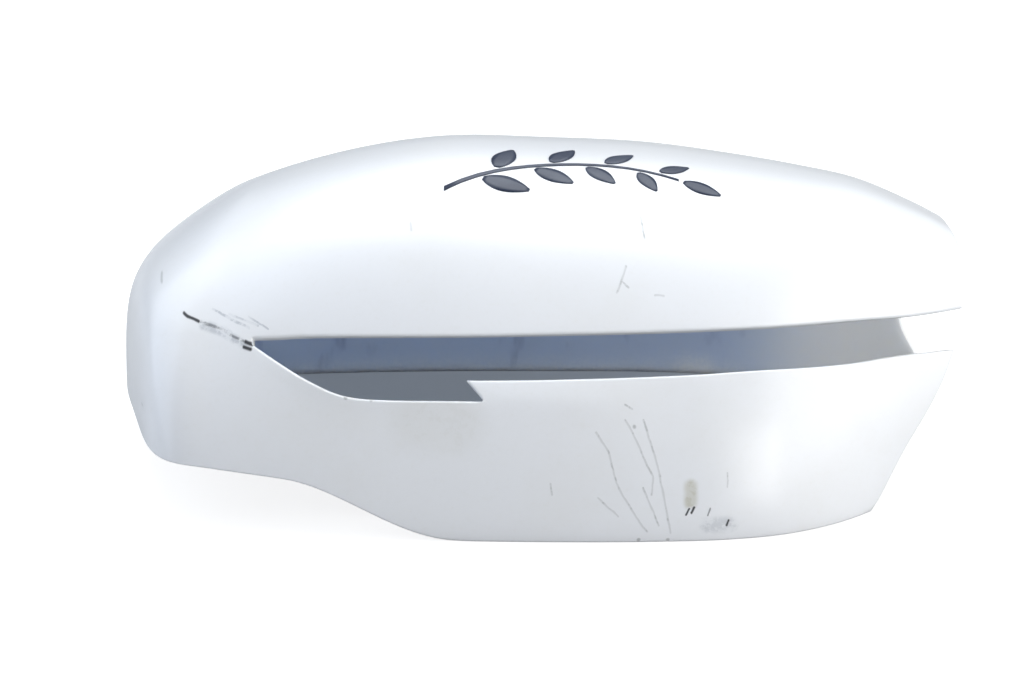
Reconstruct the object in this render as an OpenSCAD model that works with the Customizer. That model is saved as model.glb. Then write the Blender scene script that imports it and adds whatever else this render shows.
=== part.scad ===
// Wing mirror cover for the left side of a vehicle, with a lamp slot and an arm cut-out.
// The rim lies on Z = 0 and the painted face looks up. X runs from the inboard end to the
// outboard tips, and Y from the lower wall of the mirror to its upper wall.

/* [Shell] */
// Length from the inboard end to the outboard tips
cover_l = 244; // [210:1:280]
// Width across the rim, from the lower wall to the upper wall
cover_w = 149; // [130:1:175]
// Height of the crown above the rim
cover_h = 90.5; // [80:0.5:104]
// Thickness of the moulded wall
wall = 2.4; // [1.8:0.1:3.2]
// Distance of the crown line from the middle, towards the upper wall
crown_shift = 4; // [-4:1:12]

/* [Lamp slot] */
// Distance of the slot's inboard corner from the inboard end
slot_start = 41; // [39:0.5:50]
// Distance of the notch in the lower lip from the inboard end
notch_at = 104.5; // [92:0.5:120]
// How far the notch undercuts the lip beside it
notch_undercut = 4.8; // [2:0.2:7]
// How far the soft crease below the slot stands out
crease_h = 0.9; // [0.3:0.1:1.5]

/* [Arm cut-out] */
// Height of the rim over the mirror's arm, at the inboard end
arm_rise = 20; // [12:1:24]
// How much of that height is lost by the time the rim starts to fall
arm_tilt = 4; // [0:0.5:6]
// Distance from the inboard end to where the rim starts to fall
arm_flat = 47; // [30:1:60]
// Length along which the rim falls to the table
arm_fall = 50; // [35:1:65]

/* [Snap hooks] */
// Width of a hook
hook_w = 9; // [6:0.5:14]
// Thickness of a hook's leg and bridge
hook_t = 2; // [1.4:0.1:3]
// Gap between the wall and the leg, at the bridge
hook_gap = 5; // [3:0.5:8]
// Length of the leg, from the top of the bridge to its end
hook_l = 22; // [18:1:26]
// Height of the lower wall's bridges above the rim
lower_hook_z = 26; // [26:1:30]
// Height of the upper wall's bridges above the rim
upper_hook_z = 54; // [48:1:58]
// How far the barb stands out from the leg
hook_barb = 1.6; // [0.8:0.1:2.4]

/* [Vinyl sprig] */
// Thickness of the cut vinyl film
film_t = 0.2; // [0.1:0.05:0.4]
// Length of a leaf
leaf_l = 15; // [9:0.5:18]
// Width of a leaf
leaf_w = 6.6; // [4:0.2:8]
// Width of the stem
stem_w = 1.8; // [1:0.1:2.6]

/* [Hidden] */

half_l = cover_l / 2;
half_w = cover_w / 2;

// A smooth curve through the [place, value] pairs of a table, read at place u
function gap(t, i) = t[i + 1][0] - t[i][0];
function chord(t, i) = (t[i + 1][1] - t[i][1]) / gap(t, i);
function slope(t, i) =
    i == 0 ? chord(t, 0)
    : i == len(t) - 1 ? chord(t, i - 1)
    : (chord(t, i - 1) * gap(t, i) + chord(t, i) * gap(t, i - 1)) / (gap(t, i) + gap(t, i - 1));
function span_of(t, u, i = 0) = i >= len(t) - 2 || u < t[i + 1][0] ? i : span_of(t, u, i + 1);
function cubic(a, b, ma, mb, g) =
    a * (1 + 2 * g) * (1 - g) ^ 2 + ma * g * (1 - g) ^ 2 + b * g * g * (3 - 2 * g) - mb * g * g * (1 - g);
function track(t, u) =
    u <= t[0][0] ? t[0][1]
    : u >= t[len(t) - 1][0] ? t[len(t) - 1][1]
    : let (i = span_of(t, u), d = gap(t, i))
        cubic(t[i][1], t[i + 1][1], slope(t, i) * d, slope(t, i + 1) * d, (u - t[i][0]) / d);
function limit(g) = min(1, max(0, g));
function ease(g) = let (c = limit(g)) c * c * (3 - 2 * c);
function mix(a, b, g) = a + (b - a) * g;

// Edges of the rim in plan: half widths by place along half the length, as fractions
lower_edge = [[-1, -0.845], [-0.85, -0.885], [-0.7, -0.92], [-0.5, -0.96], [-0.25, -0.985], [0, -1],
    [0.25, -0.995], [0.4, -0.975], [0.55, -0.91], [0.63, -0.84], [0.71, -0.74], [0.76, -0.66],
    [0.85, -0.545], [0.93, -0.44], [1, -0.35]];
upper_edge = [[-1, 0.89], [-0.85, 0.923], [-0.7, 0.95], [-0.4, 0.99], [0, 1], [0.35, 0.98], [0.6, 0.905],
    [0.8, 0.8], [0.92, 0.7], [1, 0.6]];
// Height of the crown by place along half the length, as fractions
crown_line = [[-1, 0.69], [-0.95, 0.713], [-0.9, 0.74], [-0.85, 0.771], [-0.77, 0.822], [-0.7, 0.861],
    [-0.5, 0.945], [-0.25, 1], [0, 0.995], [0.25, 0.978], [0.43, 0.946], [0.62, 0.904], [0.75, 0.867],
    [0.87, 0.8], [0.94, 0.755], [1, 0.7]];
// The inboard end swings round a pole under the crown: reach of the rim by turn in degrees
pole_at = 0.15 * cover_l;
pole_x = pole_at - half_l;
end_reach = [[0, 1], [10, 1.014], [20, 1.048], [28, 1.079], [34, 1.089], [40, 1.073], [48, 1.031],
    [56, 0.998], [66, 0.984], [80, 1.01], [90, 1.04], [100, 1.056], [115, 1.09], [130, 1.115], [138, 1.116],
    [145, 1.106], [152, 1.084], [160, 1.051], [170, 1.014], [180, 1]];
end_power = 2.8;

// Heights of the slot's edges and of the crease, by place along half the length
slot_top = [[-0.7, 0.56], [-0.66, 0.559], [-0.56, 0.572], [-0.37, 0.583], [-0.2, 0.588], [0.25, 0.598],
    [0.41, 0.599], [0.55, 0.594], [0.69, 0.58], [0.81, 0.556], [0.96, 0.538]];
slot_low = [[-0.7, 0.553], [-0.66, 0.549], [-0.56, 0.515], [-0.4, 0.48], [-0.2, 0.47], [0.1, 0.476],
    [0.32, 0.482], [0.47, 0.485], [0.62, 0.473], [0.75, 0.455], [0.85, 0.443], [0.96, 0.4235]];
crease_line = [[-0.7, 0.546], [-0.66, 0.54], [-0.62, 0.512], [-0.585, 0.487], [-0.525, 0.452], [-0.485, 0.43],
    [-0.45, 0.418], [-0.4, 0.415], [-0.2, 0.4155], [0.12, 0.41], [0.5, 0.395], [0.82, 0.355], [0.96, 0.34]];

// Outboard end of the walls, as a fraction of half the length, by angle down from the crown
lower_end = [[0, 0.958], [12, 0.972], [24, 0.982], [33, 0.976], [46, 0.958], [57.4, 0.925], [64.3, 0.89],
    [73.5, 0.826], [90, 0.741]];
upper_end = [[0, 0.958], [20, 0.94], [35, 0.925], [60, 0.898], [73, 0.902], [79, 0.925], [82, 0.953],
    [90, 0.975]];

// How full the section is: powers of the reach and of the height, from crown to rim
lower_round = [2.2, 1.6];
end_round = [6.5, 4.8];
upper_round = [2.6, 2.5];

// Columns of the skin: pole to slot, slot to notch, notch to outboard end, and round the inboard end
pole_cols = 1;
deep_cols = 11;
long_cols = 24;
body_cols = pole_cols + deep_cols + long_cols;
end_cols = 28;
cols = 2 * body_cols + end_cols;
// Rows of the skin: rim to crease, crease to lip, lip to slot top, and on to the crown
row_counts = [7, 2, 2, 12];
row_starts = [for (i = 0, s = 0; i <= 4; s = s + (i < 4 ? row_counts[i] : 0), i = i + 1) s];
rows = row_starts[4];

slot_x = slot_start - half_l;
notch_x = notch_at - half_l;

function turn(c) = 180 * limit((c - body_cols) / end_cols);
function is_up(c) = turn(c) > 90;
function in_end(c) = turn(c) > 0 && turn(c) < 180;
function steps_out(c) = c <= body_cols ? body_cols - c : max(0, c - body_cols - end_cols);
function straight_x(c) =
    let (j = steps_out(c))
    j <= pole_cols ? mix(pole_x, slot_x, j / pole_cols)
    : j <= pole_cols + deep_cols ? mix(slot_x, notch_x, (j - pole_cols) / deep_cols)
    : mix(notch_x, half_l, (j - pole_cols - deep_cols) / long_cols);

function crown(x) = cover_h * track(crown_line, x / half_l);
function edge_y(x, up) = half_w * track(up ? upper_edge : lower_edge, x / half_l);
function roundness(c, down) =
    let (t = turn(c))
    mix(mix(lower_round, upper_round, ease(t / 180)), end_round, ease(sin(t) ^ 2 * sin(down)));
function angle_of(z, x, power) = acos(limit(z / crown(x)) ^ (power / 2));

function arm_z(x) =
    let (d = x + half_l)
    (arm_rise - arm_tilt * min(1, d / arm_flat)) * (1 - ease((d - arm_flat) / arm_fall));
function rim_z(c) =
    let (t = turn(c))
    is_up(c) ? arm_rise * (1 - ease((t - 100) / 50)) : arm_z(straight_x(c) - pole_at * sin(t));

function body_x(c, down) =
    let (x = straight_x(c), late = ease(((x - pole_x) / (half_l - pole_x) - 0.45) / 0.55))
    x + half_l * (track(is_up(c) ? upper_end : lower_end, down) - 1) * late;

// Angle down from the crown of each line of rows in a column
function line_angle(line, x) = angle_of(cover_h * track(line, x / half_l), x, lower_round[1]);
upper_marks = [62, 52, 40];
function marks(c) =
    let (x = straight_x(c), t = turn(c), p = roundness(c, 90)[1],
        lines = [for (line = [crease_line, slot_low, slot_top])
            line_angle(line, body_x(c, line_angle(line, x))) - 3 * ease(t / 25)])
    concat(angle_of(rim_z(c), x - pole_at * sin(t), p), mix(lines, upper_marks, ease((t - 20) / 70)), 0);
function band(k) = k < row_starts[1] ? 0 : k < row_starts[2] ? 1 : k < row_starts[3] ? 2 : 3;
function down_at(m, k) = let (b = band(k)) mix(m[b], m[b + 1], (k - row_starts[b]) / row_counts[b]);

// The crease stands out most on its own row, and fades at both ends
ridge_rows = [[row_starts[1] - 3, 0], [row_starts[1] - 1, 0.4], [row_starts[1], 1], [row_starts[2], 0]];
function ridge(c, k) =
    let (u = straight_x(c) / half_l, room = cover_h * (track(slot_low, u) - track(crease_line, u)))
    is_up(c) || turn(c) > 0 ? 0
    : crease_h * lookup(k, ridge_rows) * limit((room - 1) / 4) * ease((0.3 - u) / 0.25);

// The lip ends in a point that leans back over the notch
function undercut(c, k) =
    let (past = body_cols - pole_cols - deep_cols - c)
    past < 0 || past > 2 || k <= row_starts[1] || k > row_starts[2] ? 0
    : notch_undercut * (1 - past / 3) * (k - row_starts[1]) / row_counts[1];

// Near the crown the end is a plain rounded box, so that the skin runs on into it without a crease
function soft_reach(t) = (abs(cos(t)) ^ end_power + sin(t) ^ end_power) ^ (-1 / end_power);
function end_point(c, down, out, lift) =
    let (t = turn(c), reach = out * mix(soft_reach(t), track(end_reach, t), ease(down / 75)),
        x = pole_x - pole_at * reach * sin(t), half = abs(edge_y(x, is_up(c)) - crown_shift))
    [x, crown_shift - half * reach * cos(t), crown(x) * lift];
function body_point(c, k, down, out, lift) =
    let (px = body_x(c, down) - undercut(c, k))
    [px, crown_shift + (edge_y(px, is_up(c)) - crown_shift) * out, crown(px) * lift];
function skin(c, k, down) =
    let (r = roundness(c, down), half = half_w - crown_shift,
        out = sin(down) ^ (2 / r[0]) + ridge(c, k) / half, lift = cos(down) ^ (2 / r[1]))
    in_end(c) ? end_point(c, down, out, lift) : body_point(c, k, down, out, lift);

grid = [for (c = [0:cols]) let (m = marks(c)) [for (k = [0:rows - 1]) skin(c, k, down_at(m, k))]];
spine = [for (c = [0:body_cols]) skin(c, rows, 0)];
function spine_id(c) = min(c, body_cols, cols - c);
function at(c, k) = k < rows ? grid[c][k] : spine[spine_id(c)];

// The inner skin lies one wall thickness inside the outer one
function unit(v) = v / norm(v);
function inward(c, k) =
    let (along = at(min(c + 1, cols), k) - at(max(c - 1, 0), k), rise = at(c, k + 1) - at(c, max(k - 1, 0)),
        n = cross(along, rise))
    wall * unit(k == 0 ? [n.x, n.y, 0] : n);
function spine_inward(c) =
    let (left = c < body_cols ? spine[c + 1] : at(body_cols + end_cols / 2, rows - 1))
    wall * unit(cross(left - spine[max(c - 1, 0)], at(cols - c, rows - 1) - at(c, rows - 1)));
outer = concat([for (c = [0:cols], k = [0:rows - 1]) grid[c][k]], spine);
inner = concat([for (c = [0:cols], k = [0:rows - 1]) grid[c][k] + inward(c, k)],
    [for (c = [0:body_cols]) spine[c] + spine_inward(c)]);

// The middle of the shell's plan lies over the origin
centre = [for (i = [0, 1]) let (places = [for (p = outer) p[i]]) (min(places) + max(places)) / 2];
module centred() {
    translate([-centre.x, -centre.y, 0]) children();
}

// The slot leaves cells out: a deep inboard part, then a long part that runs out at the tips
function open_cell(c, k) =
    c < body_cols - pole_cols && k < row_starts[3]
    && k >= row_starts[c < body_cols - pole_cols - deep_cols ? 2 : 1];
function solid_cell(c, k) = c >= 0 && c < cols && k >= 0 && k < rows && !open_cell(c, k);
function id(c, k) = k < rows ? c * rows + k : (cols + 1) * rows + spine_id(c);
function tri(a, b, c) = a == b || b == c || a == c ? [] : [[a, b, c]];
function quad(a, b, c, d) = concat(tri(a, b, c), tri(a, c, d));
function joined(l) = [for (a = l) each a];

module shell() {
    n = len(outer);
    faces = joined([for (c = [0:cols - 1], k = [0:rows - 1]) if (!open_cell(c, k))
        let (a = id(c, k), b = id(c + 1, k), d = id(c, k + 1), e = id(c + 1, k + 1))
        concat(quad(a, b, e, d), quad(n + a, n + d, n + e, n + b),
            solid_cell(c, k - 1) ? [] : quad(b, a, n + a, n + b),
            k == rows - 1 || solid_cell(c, k + 1) ? [] : quad(d, e, n + e, n + d),
            solid_cell(c - 1, k) ? [] : quad(a, d, n + d, n + a),
            solid_cell(c + 1, k) ? [] : quad(e, b, n + b, n + e))]);
    polyhedron(concat(outer, inner), faces, 4);
}

// Snap hooks that clip the cover to the mirror housing, by place along half the length
lower_hooks = [-0.1, 0.22, 0.52];
upper_hooks = [-0.62, -0.24, 0.14, 0.5, 0.78];
bite = 1.2;
rib_t = 1.6;
rib_round = 0.4;
rib_drop = 10;

function wall_y(x, z, up) =
    let (r = up ? upper_round : lower_round, e = edge_y(x, up) - crown_shift)
    crown_shift + e * sin(angle_of(z, x, r[1])) ^ (2 / r[0]) - sign(e) * wall;

module rib_corner(x, y) {
    translate([x, y - rib_round, 0]) cylinder(h = rib_t, r = rib_round, center = true, $fn = 8);
}

// Drawn with the bridge's top on Z = 0 and its wall on the left, reaching inwards along +X
module snap_hook(fall) {
    leg = hook_gap + hook_t;
    rotate([90, 0, 0]) linear_extrude(hook_w, center = true)
        polygon([[-bite, 0], [leg, 0], [leg, 7 - hook_l], [leg + hook_barb, 5.5 - hook_l], [leg, -hook_l],
            [hook_gap, -hook_l], [hook_gap, -hook_t], [-bite - fall * hook_t, -hook_t]]);
    for (side = [-1, 1]) translate([0, side * (hook_w - rib_t) / 2, 0]) rotate([90, 0, 0])
        hull() {
            for (x = [-bite, hook_gap]) rib_corner(x, 0);
            for (x = [-bite - fall * rib_drop, hook_gap]) rib_corner(x, -rib_drop);
        }
}

module hook_at(x, up) {
    z = up ? upper_hook_z : lower_hook_z;
    fall = abs(wall_y(x, z - rib_drop, up) - wall_y(x, z, up)) / rib_drop;
    turned = atan2(wall_y(x + 2, z, up) - wall_y(x - 2, z, up), 4);
    translate([x, wall_y(x, z, up), z]) rotate([0, 0, (up ? -90 : 90) + turned]) snap_hook(fall);
}

module mirror_cover() {
    color("white") centred() {
        shell();
        for (u = lower_hooks) hook_at(u * half_l, false);
        for (u = upper_hooks) hook_at(u * half_l, true);
    }
}

// A generic leaf sprig cut from thin film, lying on the painted face
film_lift = 0.03;
sprig_x = 4;
sprig_y = -22;
stem_l = 66;
stem_bend = 9;
leaf_pairs = 4;
leaf_gap = 1;

function face_z(x, y) =
    let (up = y > crown_shift, r = up ? upper_round : lower_round,
        out = (y - crown_shift) / (edge_y(x, up) - crown_shift))
    crown(x) * (1 - out ^ r[0]) ^ (1 / r[1]);

// A closed strip of film whose edges are left and right lists of [x, y]
module film(left, right) {
    cuts = len(left);
    across = 4;
    top = joined([for (i = [0:cuts - 1]) [for (j = [0:across]) let (p = mix(left[i], right[i], j / across))
        [p.x, p.y, face_z(p.x, p.y) + film_lift]]]);
    n = len(top);
    w = across + 1;
    faces = joined(concat(
        [for (i = [0:cuts - 2], j = [0:across - 1]) let (a = i * w + j)
            concat(quad(a, a + w, a + w + 1, a + 1), quad(n + a, n + a + 1, n + a + w + 1, n + a + w))],
        [for (i = [0:cuts - 2]) let (a = i * w, b = i * w + across)
            concat(quad(a, n + a, n + a + w, a + w), quad(b + w, n + b + w, n + b, b))],
        [for (j = [0:across - 1]) let (b = (cuts - 1) * w + j)
            concat(quad(j + 1, n + j + 1, n + j, j), quad(b, n + b, n + b + 1, b + 1))]));
    polyhedron(concat(top, [for (p = top) p + [0, 0, film_t]]), faces, 4);
}

function stem_at(g) = [sprig_x + (g - 0.5) * stem_l, sprig_y + stem_bend * (1 - (2 * g - 1) ^ 2) + 8 * g];
function stem_turn(g) = let (d = stem_at(g + 0.01) - stem_at(g - 0.01)) atan2(d.y, d.x);

module leaf(root, heading, size) {
    cuts = 10;
    along = [cos(heading), sin(heading)];
    out = [-along.y, along.x];
    edge = size * [for (i = [0:cuts]) let (g = 0.04 + 0.92 * i / cuts)
        [g * leaf_l, leaf_w / 2 * sin(180 * g ^ 0.85) ^ 0.9]];
    film([for (e = edge) root + along * e.x + out * e.y], [for (e = edge) root + along * e.x - out * e.y]);
}

module vinyl_sprig() {
    color("darkslategray") centred() {
        steps = 14;
        film([for (i = [0:steps]) stem_at(i / steps) + [0, stem_w / 2 * (1 - 0.5 * i / steps)]],
            [for (i = [0:steps]) stem_at(i / steps) - [0, stem_w / 2 * (1 - 0.5 * i / steps)]]);
        for (i = [0:leaf_pairs - 1], side = [-1, 1]) {
            g = (i + 0.75 + 0.18 * side) / (leaf_pairs + 0.4);
            heading = stem_turn(g) + side * 48;
            root = stem_at(g) + (leaf_gap + stem_w / 2) * [cos(heading), sin(heading)];
            leaf(root, heading, 1 - 0.1 * i);
        }
        leaf(stem_at(1) + leaf_gap * [cos(stem_turn(1)), sin(stem_turn(1))], stem_turn(1), 0.8);
    }
}

mirror_cover();
vinyl_sprig();
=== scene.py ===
import functools
import math
import bmesh
import bpy
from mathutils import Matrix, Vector
from mathutils.bvhtree import BVHTree
from mathutils.kdtree import KDTree


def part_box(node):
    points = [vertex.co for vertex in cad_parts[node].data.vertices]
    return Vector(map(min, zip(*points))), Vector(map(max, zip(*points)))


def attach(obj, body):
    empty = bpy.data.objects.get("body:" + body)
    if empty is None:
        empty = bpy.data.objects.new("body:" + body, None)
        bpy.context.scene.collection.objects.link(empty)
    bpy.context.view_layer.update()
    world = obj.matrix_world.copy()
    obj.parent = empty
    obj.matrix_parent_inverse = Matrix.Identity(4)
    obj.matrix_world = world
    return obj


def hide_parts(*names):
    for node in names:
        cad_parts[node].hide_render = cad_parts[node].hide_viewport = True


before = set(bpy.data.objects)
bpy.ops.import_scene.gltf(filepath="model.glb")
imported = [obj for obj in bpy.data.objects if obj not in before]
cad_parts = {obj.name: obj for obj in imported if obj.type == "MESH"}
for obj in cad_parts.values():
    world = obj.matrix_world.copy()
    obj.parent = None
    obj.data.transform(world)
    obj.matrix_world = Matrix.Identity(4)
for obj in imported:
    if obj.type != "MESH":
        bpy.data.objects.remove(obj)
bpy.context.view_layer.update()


# Moulded shell of the cover: one injection-moulded piece of impact-proof plastic about
# 2.4 mm thick, sprayed white outside with clear coat over it, and left bare grey inside,
# where only some spray mist reached in past the rim and the lamp slot.
MM = 0.001
MERGE = 0.01 * MM
SHARP = math.radians(33)
FLAT_PAIR = math.radians(20)
SQUARE_PAIR = math.radians(60)
LIP_ROUND = 0.8 * MM
MIST_REACH = 5 * MM
OUTSIDE, INSIDE = 0, 1


class Value:
    """One output of a material's nodes. Arithmetic on it adds Math nodes."""

    def __init__(self, tree, socket):
        self.tree = tree
        self.socket = socket

    def node(self, kind, settings, inputs, output=0):
        """Adds a node of any kind: its settings first, then a value or link for each input."""
        made = self.tree.nodes.new(kind)
        for name, setting in settings.items():
            setattr(made, name, setting)
        for name, given in inputs.items():
            if isinstance(given, Value):
                self.tree.links.new(given.socket, made.inputs[name])
            else:
                made.inputs[name].default_value = given
        return Value(self.tree, made.outputs[output])

    def math(self, operation, first, second=0.0, clamp=False):
        settings = {"operation": operation, "use_clamp": clamp}
        return self.node("ShaderNodeMath", settings, {0: first, 1: second})

    def __add__(self, other):
        return self.math("ADD", self, other)

    def __sub__(self, other):
        return self.math("SUBTRACT", self, other)

    def __rsub__(self, other):
        return self.math("SUBTRACT", other, self)

    def __mul__(self, other):
        return self.math("MULTIPLY", self, other)

    __radd__ = __add__
    __rmul__ = __mul__

    def least(self, other):
        return self.math("MINIMUM", self, other)

    def most(self, other):
        return self.math("MAXIMUM", self, other)

    def fade(self, start, end, peak=1.0):
        """0 at start and the peak at end, eased between them."""
        inputs = {"Value": self, "From Min": start, "From Max": end, "To Max": peak}
        return self.node("ShaderNodeMapRange", {"interpolation_type": "SMOOTHSTEP"}, inputs)

    def along(self, axis):
        """The X, Y or Z of a place, for the axis 0, 1 or 2."""
        return self.node("ShaderNodeSeparateXYZ", {}, {"Vector": self}, axis)

    def vector(self, operation, other, output=0):
        settings = {"operation": operation}
        return self.node("ShaderNodeVectorMath", settings, {0: self, 1: other}, output)

    def noise(self, scale, detail=2.0, roughness=0.5, output=0):
        """A cloudy pattern with about scale clouds to the metre."""
        inputs = {"Vector": self, "Scale": scale, "Detail": detail, "Roughness": roughness}
        return self.node("ShaderNodeTexNoise", {}, inputs, output)

    def shaken(self, scale, amount):
        """This place moved by a wavy pattern, by up to half the amount each way."""
        wave = self.noise(scale, output=1).vector("SUBTRACT", (0.5, 0.5, 0.5))
        return self.vector("ADD", wave.vector("MULTIPLY", (amount, amount, amount)))

    def tint(self, under, over):
        """The colour under where this value is 0, and the colour over where it is 1."""
        settings = {"data_type": "RGBA", "blend_type": "MIX"}
        return self.node("ShaderNodeMix", settings, {0: self, 6: under, 7: over}, 2)

    def bump(self, depth):
        """A surface normal with this value as a height, where 1 stands that far out."""
        return self.node("ShaderNodeBump", {}, {"Height": self, "Distance": depth})

    def stroke(self, strength, width, *points):
        """The strength on a line through points of the XZ plane, fading out at its width, in mm."""
        ends = [Vector((x, 0, z)) * MM for x, z in points]
        nearest = self.vector("DISTANCE", ends[0], 1)
        for start, end in zip(ends, ends[1:]):
            way = end - start
            gone = self.vector("SUBTRACT", start)
            share = gone.vector("DOT_PRODUCT", way / way.length_squared, 1)
            share = share.math("ADD", share, 0.0, clamp=True)
            foot = share.node("ShaderNodeVectorMath", {"operation": "SCALE"}, {0: way, 3: share})
            nearest = nearest.least(gone.vector("DISTANCE", foot, 1))
        return nearest.fade(width * MM, width * 0.3 * MM, strength)

    def strokes(self, *lines):
        """The strongest of several strokes, each given as its strength, width and points."""
        return functools.reduce(Value.most, [self.stroke(*line) for line in lines])


def new_material(name):
    """An empty glossy material: the material, its shader node and the object's own coordinates."""
    material = bpy.data.materials.new(name)
    material.use_nodes = True
    tree = material.node_tree
    shader = tree.nodes["Principled BSDF"]
    coordinates = tree.nodes.new("ShaderNodeTexCoord")
    return material, shader, Value(tree, coordinates.outputs["Object"])


def connect(shader, name, value):
    value.tree.links.new(value.socket, shader.inputs[name])


def rgb(red, green, blue):
    """A colour written with the 0 to 255 numbers of a paint chart."""
    return tuple((c / 255) ** 2.2 for c in (red, green, blue)) + (1.0,)


def solid_copy(node):
    """A bmesh of a CAD node's mesh with its loose triangles joined at their corners."""
    shape = bmesh.new()
    shape.from_mesh(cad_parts[node].data)
    bmesh.ops.remove_doubles(shape, verts=shape.verts, dist=MERGE)
    return shape


def piece_from(shape, name, *materials):
    """A smooth-shaded object on the part's one body, made from a bmesh."""
    mesh = bpy.data.meshes.new(name)
    for face in shape.faces:
        face.smooth = True
    shape.to_mesh(mesh)
    shape.free()
    for material in materials:
        mesh.materials.append(material)
    piece = bpy.data.objects.new(name, mesh)
    bpy.context.scene.collection.objects.link(piece)
    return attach(piece, "root")


def is_sharp(edge):
    return len(edge.link_faces) == 2 and edge.calc_face_angle() > SHARP


def outer_skin(shape):
    """Every face that is reached from the topmost one without crossing a sharp edge."""
    topmost = max(shape.faces, key=lambda f: f.calc_center_median().z)
    found, waiting = {topmost}, [topmost]
    while waiting:
        for edge in waiting.pop().edges:
            if not is_sharp(edge):
                fresh = [f for f in edge.link_faces if f not in found]
                found.update(fresh)
                waiting.extend(fresh)
    return found


# The paint ends where the cut walls of the slot and the rim meet the inner side
shell = solid_copy("mirror_cover")
skin = outer_skin(shell)
cut_walls = {f for face in skin for e in face.edges if is_sharp(e) for f in e.link_faces}
painted = skin | cut_walls
for face in shell.faces:
    face.material_index = OUTSIDE if face in painted else INSIDE
bmesh.ops.join_triangles(shell, faces=shell.faces[:], angle_face_threshold=FLAT_PAIR,
                         angle_shape_threshold=SQUARE_PAIR)

# The outer edges of the slot and the rim are rounded, and the edges inside stay crisp
skin = outer_skin(shell)
lips = [e for e in shell.edges if is_sharp(e) and not skin.isdisjoint(e.link_faces)]
bmesh.ops.bevel(shell, geom=lips, affect="EDGES", offset=LIP_ROUND, segments=4, profile=0.5,
                material=-1)
crease = shell.edges.layers.float.new("crease_edge")
for edge in shell.edges:
    if is_sharp(edge):
        edge[crease] = 1.0
        edge.smooth = False

# Mist fades with the distance from the line where the paint ends
mist_layer = shell.verts.layers.float.new("mist")
paint_line = [v.co.copy() for v in shell.verts
              if {f.material_index for f in v.link_faces} == {OUTSIDE, INSIDE}]
line_tree = KDTree(len(paint_line))
for i, point in enumerate(paint_line):
    line_tree.insert(point, i)
line_tree.balance()
for v in shell.verts:
    v[mist_layer] = max(0.0, 1 - line_tree.find(v.co)[2] / MIST_REACH)

WHITE = rgb(243, 245, 248)
DUST = rgb(222, 219, 208)
DRIED_DIRT = rgb(196, 194, 180)
SCUFF_GREY = rgb(176, 181, 188)
SCRATCH_GREY = rgb(150, 152, 152)
BLACK_RUBBER = rgb(38, 40, 46)

white_paint, gloss, place = new_material("white_paint")
gloss.inputs["Coat Weight"].default_value = 1.0
gloss.inputs["Coat Roughness"].default_value = 0.24

# Wear is drawn on the front elevation, wavy and broken up, and kept to the front half
front = place.vector("MULTIPLY", (1, 0, 1)).shaken(260, 0.8 * MM)
front_only = place.along(1).fade(-4 * MM, -8 * MM)
breaks = place.noise(380, 4.0, 0.65).fade(0.38, 0.6)

# Black rubbed off something that was hit, by the slot's inboard corner and near the rim
rubbed = front.stroke(0.6, 0.5, (-94.0, 53.4), (-89.1, 52.2), (-81.5, 49.6)) * breaks
scrape = rubbed.most(front.strokes(
    (1, 0.55, (-98.7, 54.9), (-97.5, 54.2), (-94.4, 53.3)),
    (1, 0.7, (-81.0, 49.5), (-79.2, 49.0)),
    (1, 0.7, (-81.4, 48.2), (-79.6, 47.9)),
    (1, 0.45, (39.0, 7.6), (39.8, 9.2)),
    (1, 0.45, (40.5, 8.1), (41.2, 9.5)),
    (1, 0.45, (50.1, 4.4), (50.6, 5.8)),
    (0.7, 0.35, (44.9, 7.4), (45.5, 9.1))))

# The dulled clear coat beside that black
scuff = front.strokes(
    (0.9, 1.7, (-93.0, 52.6), (-87.0, 51.2), (-81.0, 48.6)),
    (1, 0.45, (-90.5, 56.2), (-85.6, 54.5), (-80.1, 52.8)),
    (0.8, 0.4, (-86.0, 55.4), (-77.6, 53.5)),
    (1, 0.4, (-80.4, 55.3), (-74.9, 53.0)),
    (0.6, 3.0, (45.0, 4.6), (51.0, 4.6)))

# Fine scratches, the longest of them down to the rim
scratch = front.strokes(
    (1, 0.42, (14.6, 29.7), (17.9, 24.7), (20.1, 16.5), (24.6, 8.5), (28.4, 3.2)),
    (1, 0.42, (22.6, 32.8), (25.6, 27.2), (29.9, 18.0), (29.7, 13.2)),
    (1, 0.4, (27.3, 15.1), (31.7, 4.7)),
    (1, 0.42, (27.4, 32.7), (31.4, 20.6), (34.9, 2.7)),
    (1, 0.38, (15.2, 12.4), (20.6, 7.4)),
    (1, 0.38, (2.2, 16.2), (2.7, 13.3)),
    (1, 0.35, (50.2, 18.4), (50.3, 14.7)),
    (1, 0.42, (23.1, 69.2), (22.0, 66.3), (20.5, 63.2)),
    (1, 0.38, (21.8, 66.0), (23.6, 64.5)),
    (1, 0.42, (30.9, 62.5), (33.4, 62.3)),
    (1, 0.42, (27.6, 79.4), (28.5, 75.1)),
    (1, 0.38, (22.4, 36.6), (24.3, 35.5)))

# Small chips in the paint
chip = front.strokes(
    (1, 0.7, (-106.8, 60.2), (-106.6, 59.4)),
    (1, 0.75, (-111.1, 28.6)),
    (1, 0.75, (-53.1, 37.7)),
    (1, 0.75, (-46.3, 37.4)),
    (1, 0.75, (25.0, 31.0)),
    (1, 0.75, (26.1, 0.9)),
    (1, 0.75, (34.2, 0.9)),
    (0.5, 0.5, (-36.0, 78.2), (-35.9, 76.9)))

# A dried run of dirt, and a broad faint stain
dirt = front.strokes(
    (0.85, 2.6, (40.2, 15.2), (40.3, 11.0)),
    (0.2, 12.0, (-33, 33), (-24, 32)))

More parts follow.
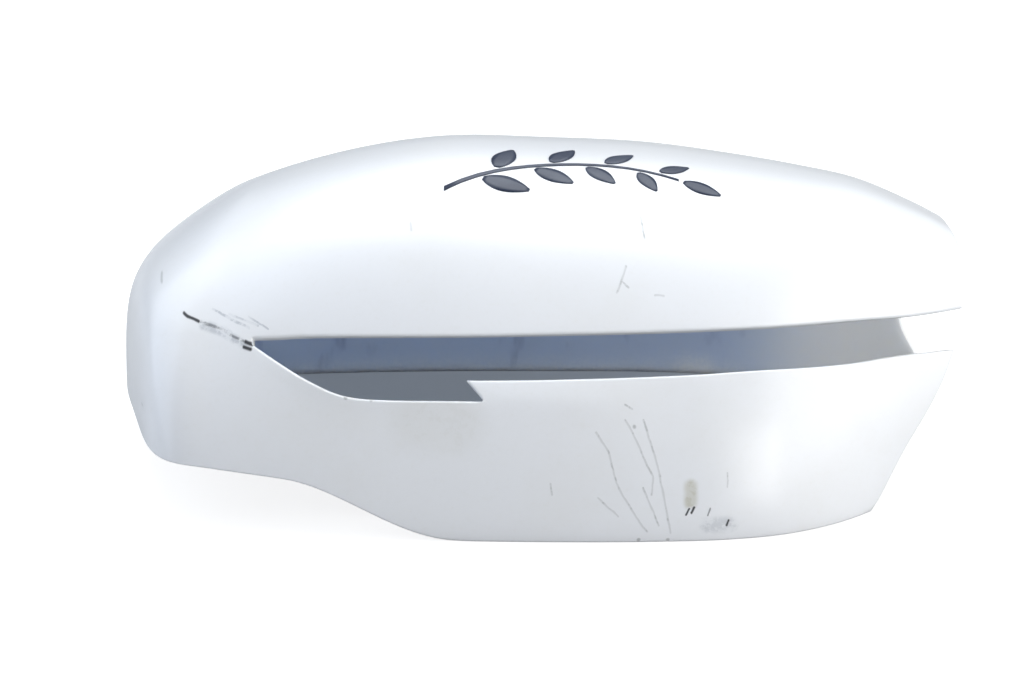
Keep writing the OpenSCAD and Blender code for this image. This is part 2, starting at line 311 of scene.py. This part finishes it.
cloud = place.noise(22, 4.0, 0.6).fade(0.42, 0.75)
grime = place.noise(700, 4.0, 0.65).fade(0.5, 0.8)
colour = (cloud * 0.16 + grime * 0.1).tint(WHITE, DUST)
colour = (dirt * front_only * breaks.most(0.75)).tint(colour, DRIED_DIRT)
colour = (scuff * front_only * breaks.most(0.3) * 0.7).tint(colour, SCUFF_GREY)
colour = (scratch * front_only * breaks.most(0.6) * 0.55).tint(colour, SCRATCH_GREY)
colour = (chip * front_only * 0.6).tint(colour, SCRATCH_GREY)
colour = (scrape * front_only * 0.95).tint(colour, BLACK_RUBBER)
connect(gloss, "Base Color", colour)
damage = scratch.most(scrape).most(scuff * 0.6).most(chip).most(dirt) * front_only
connect(gloss, "Roughness", damage * 0.35 + cloud * 0.08 + 0.4)
connect(gloss, "Coat Weight", 1.0 - damage * 0.9)
connect(gloss, "Normal", place.noise(520, 2.0, 0.4).bump(0.03 * MM))

# Bare plastic lets a little light through and shows streaks from the melt's flow. Towards the open
# outboard tips the inside is painted white, as painted light for the light that comes in there.
BARE_GREY = rgb(205, 214, 231)
STREAK_GREY = rgb(166, 174, 190)
WALL_GLOW = 4.5 * MM

grey_plastic, gloss, place = new_material("grey_plastic")
streaks = place.shaken(40, 8 * MM).vector("MULTIPLY", (1, 1, 0.35)).noise(95, 3.0, 0.55)
flow = streaks.fade(0.6, 0.72)
colour = (flow * 0.55).tint(BARE_GREY, STREAK_GREY)
mist = place.node("ShaderNodeAttribute", {"attribute_name": "mist"}, {}, 2)
# Painted light: the inside turns white towards the open outboard tips, where light comes in
painted_light_at_tips = place.along(0).fade(55 * MM, 100 * MM)
spray = (mist * (place.noise(900, 3.0) + 0.55)).fade(0.1, 1.0) * 0.6
connect(gloss, "Base Color", spray.most(painted_light_at_tips).tint(colour, WHITE))
connect(gloss, "Roughness", flow * 0.1 + 0.48)
gloss.inputs["Subsurface Weight"].default_value = 1.0
gloss.inputs["Subsurface Radius"].default_value = (1.0, 1.05, 1.15)
gloss.inputs["Subsurface Scale"].default_value = WALL_GLOW
connect(gloss, "Normal", place.noise(2400, 2.0).bump(0.02 * MM))

cover = piece_from(shell, "painted_cover", white_paint, grey_plastic)
smooth = cover.modifiers.new("finer_skin", "SUBSURF")
smooth.levels = smooth.render_levels = 2
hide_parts("mirror_cover")


# Vinyl sprig: leaves and a stem cut by a plotter from one sheet of dark slate film, and
# rubbed down onto the clear coat, so that every piece follows the curve of the crown.
GLUE = 0.03 * MM
FILM = 0.2 * MM
ABOVE = 20 * MM
SLATE = rgb(38, 48, 70)
WORN_SLATE = rgb(68, 76, 92)

sprig = solid_copy("vinyl_sprig")
drop_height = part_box("vinyl_sprig")[1].z + ABOVE
paint_skin = BVHTree.FromObject(cover, bpy.context.evaluated_depsgraph_get())
for v in sprig.verts:
    start = Vector((v.co.x, v.co.y, drop_height))
    hit = paint_skin.ray_cast(start, Vector((0, 0, -1)))[0]
    v.co.z = hit.z + GLUE + (FILM if v.normal.z > 0 else 0)

dark_vinyl, gloss, place = new_material("dark_vinyl")
grain = place.noise(1600, 3.0, 0.6)
fading = place.noise(60, 3.0, 0.55).fade(0.35, 0.7)
connect(gloss, "Base Color", (fading * 0.7 + grain * 0.15).tint(SLATE, WORN_SLATE))
connect(gloss, "Roughness", grain * 0.2 + 0.32)
connect(gloss, "Normal", grain.bump(0.01 * MM))

film = piece_from(sprig, "sprig_film", dark_vinyl)
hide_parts("vinyl_sprig")


# Table and room: a white table top under the cover, in a white tent with broad soft
# lamps. The table glows white for the camera alone, except in two ovals under the cover,
# each given by its middle and half its size in millimetres.
TABLE = 4.0
TABLE_GREY = (0.42, 0.42, 0.42, 1)
TABLE_GLOW = 0.82
SHADE = (0.14, 0.165, 0.2, 1)
SHADE_OVALS = ((-2, 52), (112, 42)), ((14, -22), (62, 46))
OVAL_HEIGHT = 1000
TENT_WHITE = (0.96, 0.99, 1.05, 1)
TENT_SEEN = 1.05
ROOM_LIGHT = 0.09

table = bmesh.new()
bmesh.ops.create_grid(table, x_segments=1, y_segments=1, size=TABLE / 2)
table_mesh = bpy.data.meshes.new("table_top")
table.to_mesh(table_mesh)
table.free()
table_top = bpy.data.objects.new("table_top", table_mesh)
bpy.context.scene.collection.objects.link(table_top)

white_table, gloss, place = new_material("white_table")
gloss.inputs["Base Color"].default_value = TABLE_GREY
gloss.inputs["Roughness"].default_value = 0.9
gloss.inputs["Specular IOR Level"].default_value = 0.0
gloss.inputs["Emission Strength"].default_value = TABLE_GLOW
open_table = 1.0
for (x, y), (half_length, half_width) in SHADE_OVALS:
    off_middle = place.vector("SUBTRACT", Vector((x, y, 0)) * MM)
    half_size = Vector((half_length, half_width, OVAL_HEIGHT)) * MM
    off_middle = off_middle.vector("DIVIDE", half_size)
    open_table = off_middle.vector("LENGTH", (0, 0, 0), 1).fade(0.85, 1.1) * open_table
glow = open_table.tint(SHADE, (1, 1, 1, 1))
seen = place.node("ShaderNodeLightPath", {}, {})
connect(gloss, "Emission Color", seen.tint((0, 0, 0, 1), glow))
table_mesh.materials.append(white_table)

world = bpy.data.worlds.new("tent")
bpy.context.scene.world = world
world.use_nodes = True
tree = world.node_tree
tent = tree.nodes["Background"]
tent.inputs["Color"].default_value = TENT_WHITE
seen = Value(tree, tree.nodes.new("ShaderNodeLightPath").outputs["Is Camera Ray"])
connect(tent, "Strength", seen * (TENT_SEEN - ROOM_LIGHT) + ROOM_LIGHT)


def lamp(name, kind, side, **settings):
    """A lamp that shines from one side, with the settings that its kind of light has."""
    light = bpy.data.lights.new(name, kind)
    for setting, value in settings.items():
        setattr(light, setting, value)
    made = bpy.data.objects.new(name, light)
    made.rotation_euler = Vector(side).to_track_quat("Z", "Y").to_euler()
    bpy.context.scene.collection.objects.link(made)
    return made


lamp("top_lamp", "SUN", (0.06, 0.4, 1), angle=math.radians(58), energy=2.55, color=(0.97, 1, 1.02))
lamp("right_lamp", "SUN", (1, -0.27, 0.26), angle=math.radians(76), energy=2.7)
lamp("left_lamp", "SUN", (-1, 0.02, 0.52), angle=math.radians(76), energy=1.7,
     color=(0.87, 0.95, 1.08))

# A narrow soft box close by, which brightens the outboard part of the front wall
BOX_PLACE = Vector((270, -394, 55)) * MM
BOX_AIM = Vector((60, -60, 30)) * MM
strip_box = lamp("strip_box", "AREA", BOX_PLACE - BOX_AIM, shape="RECTANGLE", size=110 * MM,
                 size_y=220 * MM, energy=0.38)
strip_box.location = BOX_PLACE
strip_box.visible_camera = False


# Camera: as the photograph was taken, level with the middle of the cover and looking
# down at it a little.
SENSOR = 36
LENS = 102.5
LOOK_AT = Vector((-8.1, -1.0, 33.0)) * MM
DISTANCE = 850 * MM
LOOK_DOWN = math.radians(18)

camera_data = bpy.data.cameras.new("camera")
camera_data.sensor_width = SENSOR
camera_data.lens = LENS
camera = bpy.data.objects.new("camera", camera_data)
camera.location = LOOK_AT + DISTANCE * Vector((0, -math.cos(LOOK_DOWN), math.sin(LOOK_DOWN)))
camera.rotation_euler = (math.pi / 2 - LOOK_DOWN, 0, 0)
bpy.context.scene.collection.objects.link(camera)
bpy.context.scene.camera = camera
bpy.context.scene.view_settings.view_transform = "Standard"
